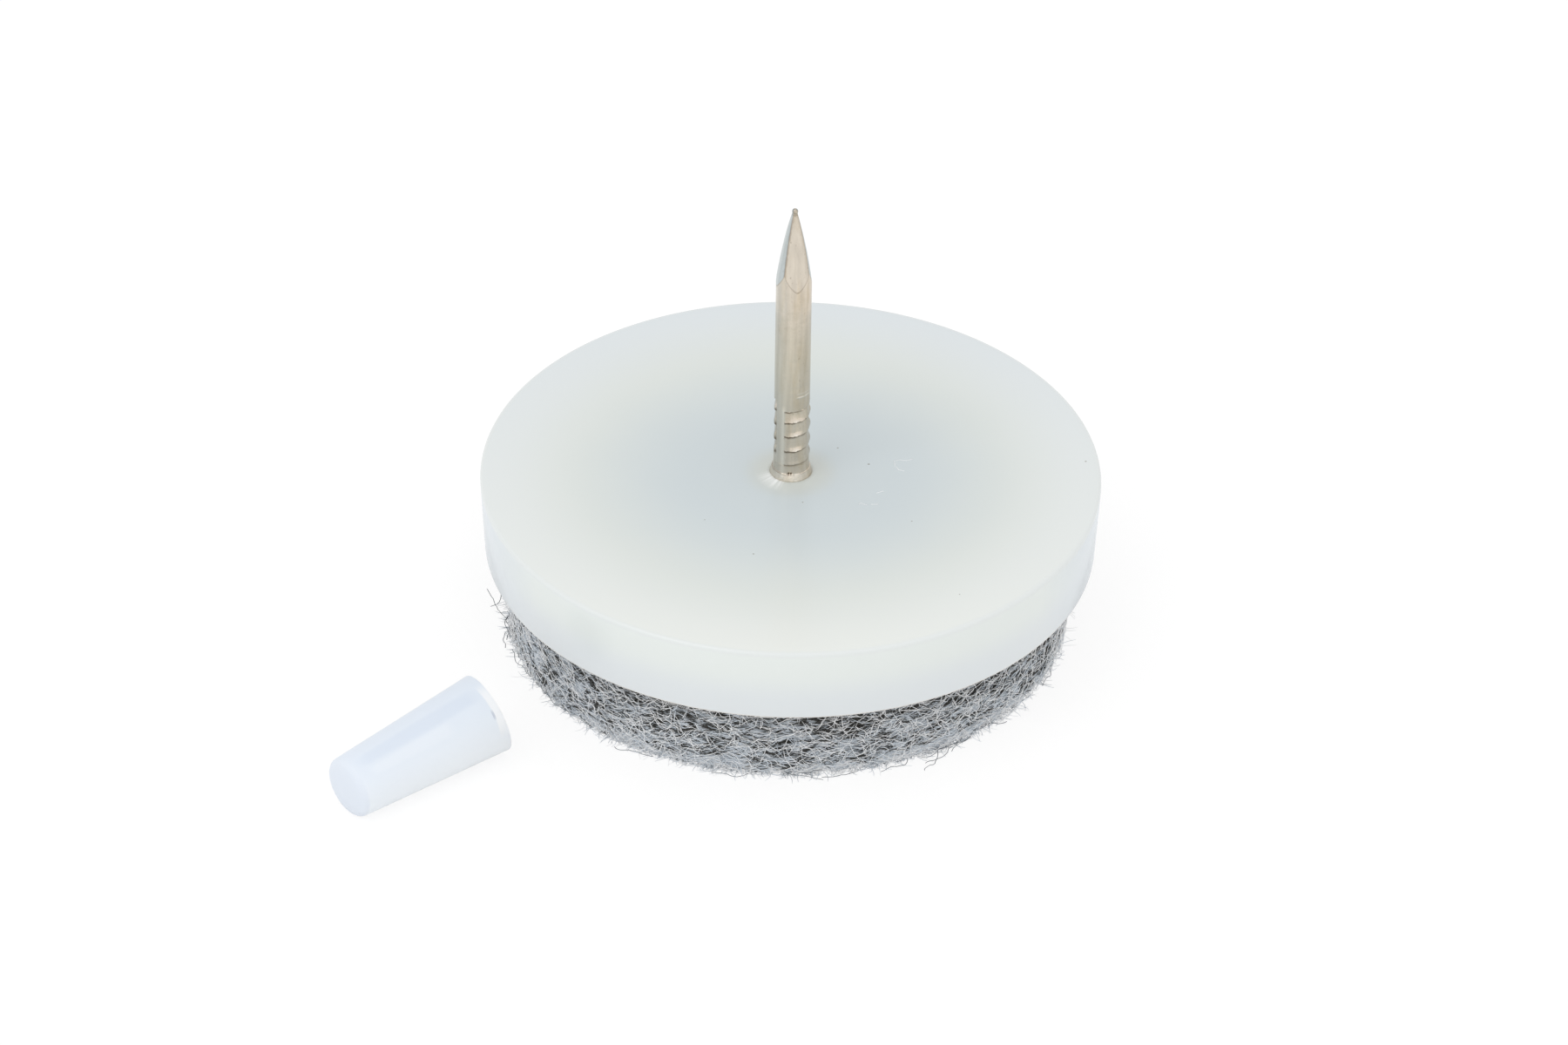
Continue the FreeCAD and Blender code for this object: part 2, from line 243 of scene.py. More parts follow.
class GlideFelt(bpy.types.PropertyGroup):
    """Sizes and colours of the felt pad."""

    core_inset: length("Core inset", "How far the packed core lies under the loose fibres", 0.12)
    unevenness: length("Unevenness", "Height of the lumps of the packed core", 0.13)
    edge: length("Edge", "Slope of the lower edge", 0.15)
    spread: length("Spread", "How far the floor has pushed the lower edge out on one side", 0.2)
    spread_turn: angle("Spread turn", "Bearing of that side", 224)
    # The pale band is partly frayed white fibres and partly painted light from the white floor.
    pale_band: length("Fray", "Height of the white frayed band along the lower edge", 0.75)
    pale_band_turn: angle("Fray turn", "Bearing where the lower edge has frayed most", 303)
    fibre: length("Fibre", "Thickness of a fibre", 0.04)
    staple: length("Staple", "Usual length of a fibre that lies on the wall", 1.1)
    fuzz: length("Fuzz", "Usual length of a fibre that stands out", 0.6)
    strands: IntProperty(name="Strands", description="Most fibres of one shade", default=6200, min=1)
    seed: IntProperty(name="Seed", description="Start of the random lay of the fibres", default=7)
    strays: IntProperty(name="Strays", description="Loose threads along the lower edge", default=60, min=0)
    white: colour("White", "Undyed fibres", "#fdfeff")
    pale: colour("Pale", "Pale grey fibres", "#e0e7ee")
    grey: colour("Grey", "Grey fibres", "#c6ced6")
    dark: colour("Dark", "Black fibres", "#353430")
    stray: colour("Stray", "Long loose threads", "#5d646b")


class GlideCap(bpy.types.PropertyGroup):
    """Sizes and colours of the cap that guards the nail's point."""

    tube: length("Length", "Length of the cap", 9.4)
    mouth: length("Mouth", "Outside radius at the mouth", 2.35)
    end: length("End", "Outside radius at the closed end", 1.75)
    wall: length("Wall", "Thickness of the wall", 0.8)
    end_wall: length("End wall", "Thickness of the closed end", 1.4)
    edge: length("Edge", "Round of the closed end", 0.3)
    dome: length("Dome", "How far the closed end bulges", 0.18)
    slant: length("Slant", "How much further the mouth reaches below than above", 0.9)
    distance: length("Distance", "Distance of the mouth from the nail", 21.9)
    bearing: angle("Bearing", "Bearing of the mouth from the nail", 219.5)
    heading: angle("Heading", "Bearing in which the mouth points", 40.6)
    film: colour("Plastic", "Clear milky plastic on top", "#e3ebf6")
    # The low plastic tone is painted light of the white floor coming through the cap's lower side.
    floor_light_film: colour("Low plastic", "Plastic low on the cap, with the floor behind it", "#f5faff")
    end_film: colour("End plastic", "Thick plastic of the closed end", "#e2e9f3")
    # The lip tone is painted light coming through the clear plastic along the mouth.
    lip: colour("Lip", "Clear plastic along the mouth", "#fdfeff")
    band: colour("Band", "Plastic where the bore shows through along the top", "#dce5f2")
    streak: colour("Streak", "Paler streak beside the band", "#edf3fb")
    # The mouth mark is a small dark mark painted near the mouth.
    mouth_mark: colour("Nick", "Small cut near the mouth", "#bcc2d2")


class GlideStage(bpy.types.PropertyGroup):
    """Floor, light and camera."""

    floor: colour("Floor", "Pale floor", "#f4f4f4")
    front: FloatProperty(name="Front light", description="Strength of the front light", default=1.03, min=0)
    back: FloatProperty(name="Back light", description="Strength of the back light", default=0.82, min=0)
    key: FloatProperty(name="Key", description="Power of the large lamp", default=0.9, min=0, unit="POWER")
    distance: length("Distance", "Distance of the camera from the disc's top", 437.5)
    elevation: angle("Elevation", "Height of the camera over the horizon", 34.69)
    roll: angle("Roll", "Turn of the camera about its own axis", 0.91)
    lens: FloatProperty(name="Lens", description="Focal length in millimetres", default=178.46, min=1)
    aim: FloatVectorProperty(
        name="Aim", description="Point at the middle of the picture",
        default=(-0.34 * MM, -1.63 * MM, 7.14 * MM), subtype="XYZ", unit="LENGTH", precision=5)


def add_node(tree, kind, inputs=(), **settings):
    """Adds a node with its settings, and sets or links its inputs, which go by name or number.

    A node given for an input stands for its first output in use, and a plain colour gets its alpha.
    """
    node = tree.nodes.new("ShaderNode" + kind)
    for name, value in settings.items():
        setattr(node, name, value)
    in_use = [socket for socket in node.inputs if socket.enabled]
    by_name = {socket.name: socket for socket in in_use}
    for key, value in dict(inputs).items():
        socket = in_use[key] if isinstance(key, int) else by_name[key]
        if isinstance(value, bpy.types.Node):
            value = next(output for output in value.outputs if output.enabled)
        if isinstance(value, bpy.types.NodeSocket):
            tree.links.new(value, socket)
        else:
            socket.default_value = (*value, 1) if socket.type == "RGBA" else value
    return node


def new_material(name):
    """A material with an empty node tree, and what adds a node to it."""
    material = bpy.data.materials.new(name)
    material.use_nodes = True
    material.node_tree.nodes.clear()
    return material, partial(add_node, material.node_tree)


def layered(add, tone, layers):
    """A tone with others laid over it, each from where its measure sets in to where it is full."""
    for towards, measure, start, full, fade in layers:
        share = add("MapRange", {0: measure, "From Min": start, "From Max": full}, interpolation_type=fade)
        tone = add("Mix", {"Factor": share, "A": tone, "B": towards}, data_type="RGBA")
    return tone


def turned(profile, steps, closed=False):
    """A bmesh turned about Z from a profile of (radius, height) pairs, merged and facing outwards."""
    bm = bmesh.new()
    verts = [bm.verts.new((r, 0, z)) for r, z in profile]
    pairs = list(zip(verts, verts[1:])) + ([(verts[-1], verts[0])] if closed else [])
    edges = [bm.edges.new(pair) for pair in pairs]
    bmesh.ops.spin(
        bm, geom=verts + edges, axis=(0, 0, 1), cent=(0, 0, 0), angle=TURN, steps=steps, use_merge=True)
    bmesh.ops.remove_doubles(bm, verts=bm.verts, dist=MERGE)
    bmesh.ops.recalc_face_normals(bm, faces=bm.faces)
    return bm


def round_rim(bm, radius, height, size, segments):
    """Rounds the circular edge at a radius and height of a turned bmesh."""
    rim = [
        e for e in bm.edges
        if all(abs(v.co.xy.length - radius) < NEAR and abs(v.co.z - height) < NEAR for v in e.verts)
    ]
    if not rim:
        raise RuntimeError(f"no rim at radius {radius} and height {height}")
    bmesh.ops.bevel(
        bm, geom=rim, offset=size, offset_type="OFFSET", affect="EDGES", segments=segments, profile=0.5,
        material=-1)


def show(piece, node=None):
    """Puts a piece in the scene on the glide's one body, and hides the CAD node it stands for."""
    bpy.context.scene.collection.objects.link(piece)
    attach(piece, "root")
    if node:
        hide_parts(node)
    return piece


def mesh_piece(name, bm, material, sharp):
    """A smooth-shaded object of a bmesh, with edges above an angle in degrees kept sharp."""
    mesh = bpy.data.meshes.new(name)
    bm.to_mesh(mesh)
    bm.free()
    mesh.materials.append(material)
    mesh.shade_smooth()
    mesh.set_sharp_from_angle(angle=sharp * DEG)
    return bpy.data.objects.new(name, mesh)


def fibre_piece(name, strands, thickness, material):
    """One curve object of many thin strands, each a list of points and their shares of the thickness."""
    curve = bpy.data.curves.new(name, "CURVE")
    curve.dimensions = "3D"
    curve.bevel_depth = thickness / 2
    curve.bevel_resolution = 0
    curve.materials.append(material)
    for points, shares in strands:
        spline = curve.splines.new("POLY")
        spline.points.add(len(points) - 1)
        spline.points.foreach_set("co", [x for p in points for x in (*p, 1)])
        spline.points.foreach_set("radius", shares)
    return bpy.data.objects.new(name, curve)


def moulded_polyethylene(disc):
    """Injection-moulded natural polyethylene: milky, waxy half gloss, greyer where felt lies behind it."""
    material, add = new_material("moulded_natural_polyethylene")
    place = add("TexCoord").outputs["Object"]
    flat = add("VectorMath", {0: place, 1: (1, 1, 0)}, operation="MULTIPLY")
    radius = add("VectorMath", {0: flat}, operation="LENGTH")
    across, depth, height = add("SeparateXYZ", {0: place}).outputs
    aside = add("Math", {0: across}, operation="ABSOLUTE")

    # The plastic is greyest over the felt's middle and clears towards the rim; the back has painted shade.
    cloud = add("TexNoise", {"Vector": place, "Scale": 1 / (5 * MM), "Detail": 3})
    oval = add("VectorMath", {0: place, 1: (1, 1.1, 0)}, operation="MULTIPLY")
    drift = add("VectorMath", {0: oval, 1: (0.3 * MM, -0.2 * MM, 0)}, operation="DISTANCE")
    drift = add("Math", {0: cloud, 1: 1.2 * MM, 2: drift}, operation="MULTIPLY_ADD")
    rim_tone = layered(add, disc.rim_milk, [(disc.back_shade, depth, -17 * MM, 17 * MM, "LINEAR")])
    # The wall takes painted shade at its left and right.
    wall_tone = layered(add, disc.wall_milk, [(disc.side_shade, aside, 14 * MM, 17 * MM, "LINEAR")])
    foot_tone = layered(add, disc.foot_milk, [(disc.side_shade, aside, 14 * MM, 17 * MM, "LINEAR")])
    tone = layered(add, disc.core_milk, (
        (disc.ring_milk, drift, 6 * MM, 15 * MM, "SMOOTHSTEP"),
        (rim_tone, radius, 11 * MM, 17 * MM, "SMOOTHSTEP"),
        # Painted shade along the rounded top edge.
        (disc.edge_milk, radius, DISC_HIGH.x - 0.3 * MM, DISC_HIGH.x - 0.1 * MM, "LINEAR"),
        # Painted shade and warm reflection of the nail round its collar.
        (disc.nail_shade_and_reflection, radius, 3.0 * MM, 1.5 * MM, "SMOOTHSTEP"),
        (wall_tone, height, DISC_HIGH.z - 0.12 * MM, DISC_HIGH.z - 0.4 * MM, "LINEAR"),
        (foot_tone, height, 8.2 * MM, 6 * MM, "SMOOTHSTEP"),
        # Painted shade along the lower edge.
        (disc.lower_edge_shade, height, DISC_LOW.z + 0.14 * MM, DISC_LOW.z, "SMOOTHSTEP"),
    ))

    # Driving the nail whitened the plastic on one side of the collar, in a fan of streaks about 1 mm long.
    bearing = add("VectorMath", {0: flat}, operation="NORMALIZE")
    fan = add("TexNoise", {"Vector": bearing, "Scale": 17, "Detail": 2})
    facing = add("VectorMath", {0: bearing, 1: BRUISE_SIDE}, operation="DOT_PRODUCT")
    streak = add("MapRange", {0: fan, "From Min": 0.46, "From Max": 0.6, "To Min": 0.3, "To Max": 0.95})
    near = add("MapRange", {0: radius, "From Min": 2.1 * MM, "From Max": 1.35 * MM})
    sided = add("MapRange", {0: facing, "From Min": 0.8, "From Max": 0.96}, interpolation_type="SMOOTHSTEP")
    bruise = add("Math", {0: streak, 1: near}, operation="MULTIPLY")
    bruise = add("Math", {0: bruise, 1: sided}, operation="MULTIPLY")
    tone = add("Mix", {"Factor": bruise, "A": tone, "B": disc.bruise}, data_type="RGBA")

    # A few specks of grit are pressed into the top.
    for x, y, reach in GRIT:
        spot = (x * MM, y * MM, DISC_HIGH.z)
        away = add("VectorMath", {0: place, 1: spot}, operation="DISTANCE")
        speck = add("MapRange", {0: away, "From Min": reach * MM, "From Max": reach * MM / 2, "To Max": 0.5})
        tone = add("Mix", {"Factor": speck, "A": tone, "B": disc.grit}, data_type="RGBA")

    # A mould finish of about 0.6 mm ripple, which shows in the gloss only.
    ripple = add("TexNoise", {"Vector": place, "Scale": 1 / (0.6 * MM), "Detail": 2})
    gloss = add("MapRange", {0: ripple, **DISC_GLOSS})
    shader = add("BsdfPrincipled", {"Base Color": tone, "Roughness": gloss, "IOR": POLYETHYLENE})
    add("OutputMaterial", {"Surface": shader})
    return material


def whitened_polyethylene(disc):
    """Polyethylene torn up by a scratch: matt and whiter than its skin, in patches of about 0.3 mm."""
    material, add = new_material("whitened_polyethylene")
    place = add("TexCoord").outputs["Object"]
    torn = add("TexNoise", {"Vector": place, "Scale": 1 / (0.3 * MM), "Detail": 1})
    tone = add("Mix", {"Factor": torn, "A": disc.foot_milk, "B": WHITE}, data_type="RGBA")
    shader = add("BsdfPrincipled", {"Base Color": tone, "Roughness": 0.6, "IOR": POLYETHYLENE})
    add("OutputMaterial", {"Surface": shader})
    return material


def nickel_plate(nail):
    """Bright nickel on drawn steel wire: a warm soft gloss, drawn along the shank, with dirt and painted
    shade along edges.
    """
    material, add = new_material("nickel_plated_steel_wire")
    place = add("TexCoord").outputs["Object"]
    dirt, shine, bare = (
        add("Attribute", attribute_name=name).outputs["Fac"] for name in ("dirt", "shine", "bare"))

    # Drawing lines about 0.25 mm apart, coarse enough to show, run some millimetres along the wire.
    along = add("Mapping", {"Vector": place, "Scale": (1 / (0.25 * MM), 1 / (0.25 * MM), 1 / (5 * MM))})
    lines = add("TexNoise", {"Vector": along, "Scale": 1, "Detail": 3})
    stripe = add("MapRange", {0: lines, "From Min": 0.3, "From Max": 0.7, "To Min": 0.9, "To Max": 1.06})
    # Thin plate lets warm stains through in streaks, and rust in specks of about 0.1 mm.
    stained = add("Mapping", {"Vector": place, "Scale": (1 / (0.5 * MM), 1 / (0.5 * MM), 1 / (2.2 * MM))})
    streaks = add("TexNoise", {"Vector": stained, "Scale": 1, "Detail": 4})
    stain = add("MapRange", {0: streaks, "From Min": 0.5, "From Max": 0.75, "To Max": 0.4})
    pits = add("TexNoise", {"Vector": place, "Scale": 1 / (0.14 * MM), "Detail": 3})
    speck = add("MapRange", {0: pits, "From Min": 0.66, "From Max": 0.74, "To Max": 0.4})
    dirt = add("Math", {0: dirt, 1: 0.9, 2: speck}, operation="MULTIPLY_ADD", use_clamp=True)
    # Painted bluish reflection, painted highlights, and dirt with painted shade are laid over the nickel and
    # its stains.
    tone = nail.nickel
    for share, towards in (
        (stain, nail.stain), (bare, nail.steel), (shine, nail.bright), (dirt, nail.tarnish_and_shade),
    ):
        tone = add("Mix", {"Factor": share, "A": tone, "B": towards}, data_type="RGBA")
    tone = add("Mix", {"Factor": 1, "A": tone, "B": stripe}, data_type="RGBA", blend_type="MULTIPLY")
    mottle = add("TexNoise", {"Vector": place, "Scale": 1 / (0.6 * MM), "Detail": 3})
    gloss = add("MapRange", {0: mottle, **NAIL_GLOSS})
    relief = add("Math", {0: mottle, 1: 3.0, 2: lines}, operation="MULTIPLY_ADD")
    bump = add("Bump", {"Height": relief, "Strength": 0.3, "Distance": 0.02 * MM})
    shader = add("BsdfPrincipled", {"Base Color": tone, "Metallic": 1, "Roughness": gloss, "Normal": bump})
    add("OutputMaterial", {"Surface": shader})
    return material


def needled_felt(felt):
    """Needled wool blend: a matt mix of dyed fibres that lie along the cut wall in short streaks."""
    material, add = new_material("needled_wool_felt")
    place = add("TexCoord").outputs["Object"]
    # The blend of dyed fibres, with painted shade under the disc and painted paleness, comes with the mesh;
    # streaks about 1.2 mm long and 0.2 mm high break it up, because the fibres lie flat in the pad.
    dyed_and_shaded = add("Attribute", attribute_name="dye").outputs["Fac"]
    lay = add("Mapping", {"Vector": place, "Scale": (1 / (1.2 * MM), 1 / (1.2 * MM), 1 / (0.2 * MM))})
    blend = add("TexNoise", {"Vector": lay, "Scale": 1, "Detail": 4, "Roughness": 0.65})
    mixed = add("Math", {0: blend, 1: 0.6, 2: dyed_and_shaded}, operation="MULTIPLY_ADD")
    tone = layered(add, felt.pale, (
        (felt.dark, mixed, 0.18, 0.55, "LINEAR"),
        (felt.white, mixed, 0, -0.3, "LINEAR"),
    ))
    bump = add("Bump", {"Height": blend, "Strength": 1, "Distance": 0.15 * MM})
    shader = add("BsdfPrincipled", {
        "Base Color": tone, "Roughness": 0.95, "Normal": bump, "Sheen Weight": 0.2})
    add("OutputMaterial", {"Surface": shader})
    return material


def wool_fibre(name, tint):
    """One shade of dyed wool: matt, with the faint sheen of its scales. It is too thin to show more."""
    material, add = new_material(name)
    shader = add("BsdfPrincipled", {
        "Base Color": tint, "Roughness": 0.75, "Sheen Weight": 0.5, "Sheen Roughness": 0.4})
    add("OutputMaterial", {"Surface": shader})
    return material


def cap_lay(cap):
    """The middle of the cap's mouth and the way from there to its closed end."""
    taper = math.atan2(cap.mouth - cap.end, cap.tube)
    level = math.cos(taper)
    away = -Vector((math.cos(cap.heading) * level, math.sin(cap.heading) * level, math.sin(taper)))
    mouth = on_round(cap.bearing, cap.distance, cap.mouth * level)
    return mouth, away


def soft_polyethylene(cap):
    """Soft clear polyethylene: bluish, see-through enough for the bore to show, with a smooth waxy skin."""
    material, add = new_material("clear_soft_polyethylene")
    place = add("TexCoord").outputs["Object"]
    face = add("NewGeometry").outputs["Normal"]
    mouth, away = cap_lay(cap)
    front = Vector((math.sin(cap.heading), -math.cos(cap.heading), 0))
    top = away.cross(front)
    start = mouth.dot(away)
    along = add("VectorMath", {0: place, 1: away}, operation="DOT_PRODUCT")
    closed = add("VectorMath", {0: face, 1: away}, operation="DOT_PRODUCT")
    upward = add("SeparateXYZ", {0: face}).outputs["Z"]
    tone = layered(add, cap.film, (
        # Painted light from the floor brightens the cap's lower side.
        (cap.floor_light_film, upward, 0.95, -0.2, "LINEAR"),
        (cap.end_film, closed, -0.02, 0.5, "LINEAR"),
    ))

    # The bore shows through as a blue band near the top, with a pale streak beside it.
    # Along the mouth, light through the clear lip is painted, and a small dark mark near it.
    # Each mark: its colour, its turn up from the front and its reach to each side in degrees, where it
    # starts and ends, and its strength.
    for tint, turn, reach, begin, end, strength in (
        (cap.band, 76, 16, 0.4 * MM, 9.0 * MM, 0.9),
        (cap.streak, 50, 13, 2.8 * MM, 8.6 * MM, 0.5),
        (cap.lip, 44, 46, -0.5 * MM, 0.5 * MM, 0.75),
        (cap.mouth_mark, 38.5, 11, 0.4 * MM, 0.56 * MM, 0.8),
    ):
        turn, reach = turn * DEG, reach * DEG
        towards = top * math.sin(turn) + front * math.cos(turn)
        facing = add("VectorMath", {0: face, 1: towards}, operation="DOT_PRODUCT")
        aside = add("MapRange", {
            0: facing, "From Min": math.cos(reach), "From Max": math.cos(reach / 3), "To Max": strength},
            interpolation_type="SMOOTHSTEP")
        middle, half = start + (begin + end) / 2, (end - begin) / 2
        off = add("Math", {0: along, 1: middle}, operation="SUBTRACT")
        off = add("Math", {0: off}, operation="ABSOLUTE")
        within = add("MapRange", {0: off, "From Min": half, "From Max": half * 0.8})
        mark = add("Math", {0: aside, 1: within}, operation="MULTIPLY")
        tone = add("Mix", {"Factor": mark, "A": tone, "B": tint}, data_type="RGBA")
    flow = add("TexNoise", {"Vector": place, "Scale": 1 / (1.6 * MM), "Detail": 3})
    gloss = add("MapRange", {0: flow, **CAP_GLOSS})
    bump = add("Bump", {"Height": flow, "Strength": 0.15, "Distance": 0.05 * MM})
    shader = add("BsdfPrincipled", {
        "Base Color": tone, "Roughness": gloss, "IOR": 1.4, "Normal": bump,
        "Subsurface Weight": 0.2, "Subsurface Radius": (1, 1, 1), "Subsurface Scale": 1.5 * MM})
    add("OutputMaterial", {"Surface": shader})
    return material


class GLIDE_OT_base_disc(bpy.types.Operator):
    """Moulded disc with its seat for the felt and the swell round the nail"""

    bl_idname = "glide.base_disc"
    bl_label = "Base disc"

    def execute(self, context):
        disc = context.scene.glide_disc
        top, low = DISC_HIGH.z, DISC_LOW.z
        rim = DISC_HIGH.x
        foot = rim - (top - low) * math.tan(disc.draft)
        seat = foot - disc.lip
        ceiling = low + disc.seat
        hole = disc.nail_hole
        beside = 4 * disc.edge
        bm = turned([
            *((hole + out * MM, top + disc.swell * share) for out, share in SWELL),
            (rim - beside, top),
            (rim, top),
            (rim - beside * math.tan(disc.draft), top - beside),
            (foot, low),
            (seat, low),
            (seat, ceiling),
            (disc.head_hole, ceiling),
            (disc.head_hole, ceiling + disc.head_depth),
            (hole, ceiling + disc.head_depth),
        ], DISC_STEPS, closed=True)
        round_rim(bm, rim, top, disc.edge, 5)
        round_rim(bm, foot, low, 0.06 * MM, 2)
        round_rim(bm, seat, low, 0.1 * MM, 2)
        show(mesh_piece("disc_moulding", bm, moulded_polyethylene(disc), 35), "base_disc")
        return {"FINISHED"}


class GLIDE_OT_disc_scratches(bpy.types.Operator):
    """Hair-thin white scratches on the disc's top"""

    bl_idname = "glide.disc_scratches"
    bl_label = "Disc scratches"

    def execute(self, context):
        disc = context.scene.glide_disc
        strands = []
        for marks in SCRATCHES:
            points = [Vector((x * MM, y * MM, DISC_HIGH.z)) for x, y in marks]
            strands.append((points, [1] * len(points)))
        torn = whitened_polyethylene(disc)
        show(fibre_piece("disc_scratches", strands, disc.scratch, torn))
        return {"FINISHED"}


def clip(value):
    """A value kept between 0 and 1."""
    return min(1, max(0, value))


def bump_at(offset, reach):
    """1 at no offset, fading smoothly over a reach."""
    return math.exp(-(offset / reach) ** 2)


def on_round(bearing, radius, height):
    """A point at a bearing, a radius and a height."""
    return Vector((radius * math.cos(bearing), radius * math.sin(bearing), height))


def ring_place(nail, bearing, height):
    """Bearing of a place on the shank from the middle of its die, and the count of rings below it."""
    off = (bearing - nail.ring_turn + math.pi / 2) % TURN - math.pi / 2
    if off > math.pi / 2:
        off -= math.pi + nail.die_slip
        height -= nail.die_shift
    height -= nail.ring_tilt * (off + 0.75)
    starts = [nail.ring_start + i * nail.ring_pitch + slip * MM for i, slip in enumerate(RING_SLIPS)]
    for ring, (low, high) in enumerate(zip(starts, starts[1:])):
        if height < high:
            return off, ring + (height - low) / (high - low)
    return off, len(starts) - 1 + (height - starts[-1]) / nail.ring_pitch


def ring_cut(nail, bearing, height):
    """How far a place on the shank lies under the wire's surface, its dirt and painted shade, and its
    painted highlight.
    """
    off, step = ring_place(nail, bearing, height)
    last = len(RING_SLIPS) - 1
    inside = nail.ring_sweep / 2 - abs(off)
    # The dies left a raised line along the edges of the smooth strips, from the collar to the last ring.
    run = min(clip((height - 0.15 * MM) / (0.1 * MM)), clip((last + 0.4 - step) * 3))
    line = run * bump_at(inside + 3 * DEG, 6 * DEG) * (off < 0)
    burr = DIE_LINE * line
    # The raised line gets a painted highlight.
    shine = 0.55 * line
    pressed = clip(inside / (3 * DEG))
    # Painted shade and some dirt sit in the grooves, most where they start beside a strip.
    begin = 0.55 + 0.32 * bump_at(off + nail.ring_sweep / 2, 50 * DEG)
    if step < 0:
        groove = clip(1.5 + step * nail.ring_pitch / (0.12 * MM))
        return -burr, 0.8 * pressed * groove * begin, shine
    if step > last:
        return -burr, 0, shine
    round_wire = on_round(bearing, 1, 0)
    step = max(0, step + 0.06 * noise.noise(3 * round_wire + Vector((0, 0, step))))
    ring, rise = divmod(step, 1)
    glint_side = bump_at(bearing - nail.glint_turn, 12 * DEG)
    proud = bump_at(bearing - nail.glint_turn, 19 * DEG) * (0.2 if ring == 0 else 1)
    uneven = 1 + 0.35 * noise.noise(4 * round_wire + Vector((0, 0, 9 * ring)))
    hollow = 1 - (1 - rise) ** (1.1 + 1.1 * proud)
    at_crest = max(0, 1 - rise * 4)
    crest = RING_CREST * uneven * (0.1 + 0.9 * proud) * at_crest
    under = (1 - rise) * nail.ring_pitch
    groove = clip((0.19 * MM - under) / (0.08 * MM))
    # Where a ring ends at a strip the die pushed up a lump; the dark pit beside it is painted shade.
    lump = RING_LUMP * (off > 0) * bump_at(inside - 10 * DEG, 9 * DEG) * bump_at(rise - 0.2, 0.3)
    pit = (off > 0) * bump_at(inside - 4 * DEG, 4 * DEG) * bump_at(rise - 0.08, 0.12)
    # Away from the glint side the shank is a little darker too, as painted shade.
    dirt = pressed * (groove * begin + 0.12 * (1 - proud)) + 0.9 * pit
    cut = pressed * (nail.ring_depth * hollow * uneven - crest - lump) - burr
    # Crests on the glint side get a painted highlight.
    return cut, min(1, dirt), max(pressed * at_crest * glint_side * (ring > 0), shine)


def facet_reach(nail, bearing, height, foot, end):
    """Distance of the nearest facet from the nail's axis, the bearing from its middle, and which it is."""
    which, turn = divmod(bearing - nail.point_turn + math.pi / 4, math.pi / 2)
    turn -= math.pi / 4
    # Upwards a facet is an arc that leans in at its foot and ends at the tip.
    run, rise = nail.shank - nail.tip / 2, end - foot
    swing = math.atan2(run, rise) - nail.lean
    sweep = math.hypot(run, rise) / (2 * math.sin(swing))
    middle_r = nail.shank - sweep * math.cos(nail.lean)
    middle_z = foot - sweep * math.sin(nail.lean)
    half = middle_r + math.sqrt(sweep ** 2 - (height - middle_z) ** 2)
    # Across it is an arc too, and its foot is drawn up to a point.
    behind = nail.bow - nail.shank
    across = behind * math.cos(turn)
    peak = math.hypot(turn, 0.1) - 0.1 - turn ** 2 / (math.pi / 4)
    peak *= nail.crown * math.exp(-max(0, height - foot) / (1.5 * MM))
    reach = math.sqrt(across ** 2 + (half + behind) ** 2 - behind ** 2) - across + max(0, peak)
    return reach, turn, which


def neck_surface(nail, bearing, height):
    """Radius of the collar and of the neck over it, their dirt and painted shade, and their painted
    highlight.
    """
    over = height - nail.collar_rise
    lip = max(0, 1 - abs(over) / COLLAR_LIP)
    dent_x = (bearing - nail.dent_turn) * nail.collar
    dent = max(bump_at(dent_x + 0.07 * MM, 0.06 * MM), bump_at(dent_x - 0.09 * MM, 0.05 * MM))
    dent *= bump_at(over - 0.03 * MM, 0.08 * MM)
    taper = max(0, height - COLLAR_FOOT) / (nail.collar_rise - COLLAR_FOOT)
    flare = over / (nail.ring_start - nail.collar_rise)
    if flare < 0:
        radius = nail.collar + 0.005 * MM - nail.collar_taper * taper
    else:
        radius = nail.shank - 0.015 * MM + 0.065 * MM * max(0, 1 - flare) ** 1.5
    # The collar's lip gets a painted glint, and the collar a painted highlight strongest on the glint side.
    glint = lip * bump_at(bearing - nail.glint_turn, 10 * DEG)
    lightening = (0.1 + 0.4 * bump_at(bearing - nail.glint_turn, 25 * DEG)) * (flare < 0)
    # The crease over the collar, more on the left, and the dent are darkened: painted shade with some dirt.
    left = 0.5 - 0.5 * math.cos(bearing)
    dirt = max((0.15 + 0.45 * left) * lip * (1 - glint), min(1, 1.2 * dent), 0.12 * clip(flare * 6))
    return radius - DENT_DEPTH * dent, dirt, max(glint, lightening)


